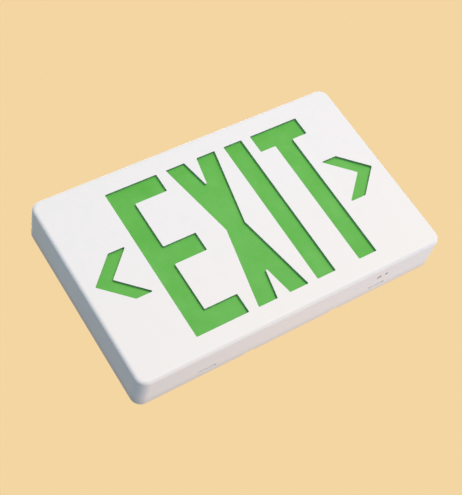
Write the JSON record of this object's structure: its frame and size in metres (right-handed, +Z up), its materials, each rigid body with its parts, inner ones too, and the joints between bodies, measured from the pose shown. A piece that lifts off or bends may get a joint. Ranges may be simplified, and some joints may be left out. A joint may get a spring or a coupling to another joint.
{
  "type": "emergency exit light",
  "caption": "Thin wall-mounted exit light: white shell with cut-out legend and two chevrons over a green panel, lamp strips, standby battery, test button and snap-in back plate.",
  "frame": {"origin": "middle of the bottom side, the side with the test button", "axes": "+Z up, -Y out of the face towards the viewer, +X along the legend to its right, +Y towards the wall"},
  "size_m": [0.3082, 0.038, 0.19],
  "materials": {
    "white_shell": "fine moulded grain",
    "white_back": "fine moulded grain",
    "white_tray": "smooth reflective white",
    "green_panel": "translucent tinted sheet",
    "button_grey": "satin",
    "lamp_red": "tinted clear resin",
    "black_nylon": "satin",
    "strip_board": "white solder mask",
    "led_lens": "water clear resin",
    "main_board": "bare laminate with green mask",
    "ferrite": "sintered",
    "coil_tape": "wound tape",
    "capacitor_sleeve": "shrunk sleeve",
    "yellow_box": "moulded box",
    "fuse_cap": "moulded cap",
    "transistor": "moulded epoxy and tinned copper",
    "diode_body": "moulded epoxy",
    "resistor_body": "lacquer",
    "terminal_green": "moulded",
    "plated_steel": "zinc plated",
    "white_nylon": "moulded nylon",
    "wire_insulation": "insulated wire",
    "battery_wrap": "shrunk film",
    "foam_pad": "closed cell foam",
    "switch_black": "moulded"
  },
  "bodies": {
    "housing": {"battery_lead": "wire_insulation", "battery_pack": "battery_wrap", "battery_pad": "foam_pad", "battery_strap": "plated_steel", "colour_panel": "green_panel", "component_tray": "white_tray", "diodes": "diode_body", "electrolytic_capacitors": "capacitor_sleeve", "fuse": "fuse_cap", "housing_shell": "white_shell", "lamp_spacer": "white_nylon", "lead_plugs": "white_nylon", "lead_sockets": "white_nylon", "led_board_bottom": "strip_board", "led_board_top": "strip_board", "led_lamps_bottom": "led_lens", "led_lamps_top": "led_lens", "led_leads": "wire_insulation", "main_board": "main_board", "main_board_screws": "plated_steel", "mains_terminal_block": "terminal_green", "power_transistor": "transistor", "resistors": "resistor_body", "status_lamp": "lamp_red", "strap_screws": "plated_steel", "suppressor_capacitor": "yellow_box", "switch_spring": "plated_steel", "terminal_screws": "plated_steel", "test_board": "main_board", "test_board_screws": "plated_steel", "test_lead": "wire_insulation", "test_switch": "switch_black", "transformer_coil": "coil_tape", "transformer_core": "ferrite", "tray_screws": "plated_steel"},
    "back": {"back_plate": "white_back", "wire_bushing": "black_nylon"},
    "button": {"test_button": "button_grey", "switch_plunger": "white_nylon"}
  },
  "joints": [
    {"name": "button_press", "type": "slide", "parent": "housing", "child": "button", "axis": [0, 0, 1], "range_m": [0, 0.0015], "stiffness_N_per_m": 600, "springref_m": -0.0008, "deforming": ["switch_spring"]},
    {"name": "back_release", "type": "slide", "parent": "housing", "child": "back", "axis": [0, 1, 0], "range_m": [0, 0.06]}
  ]
}
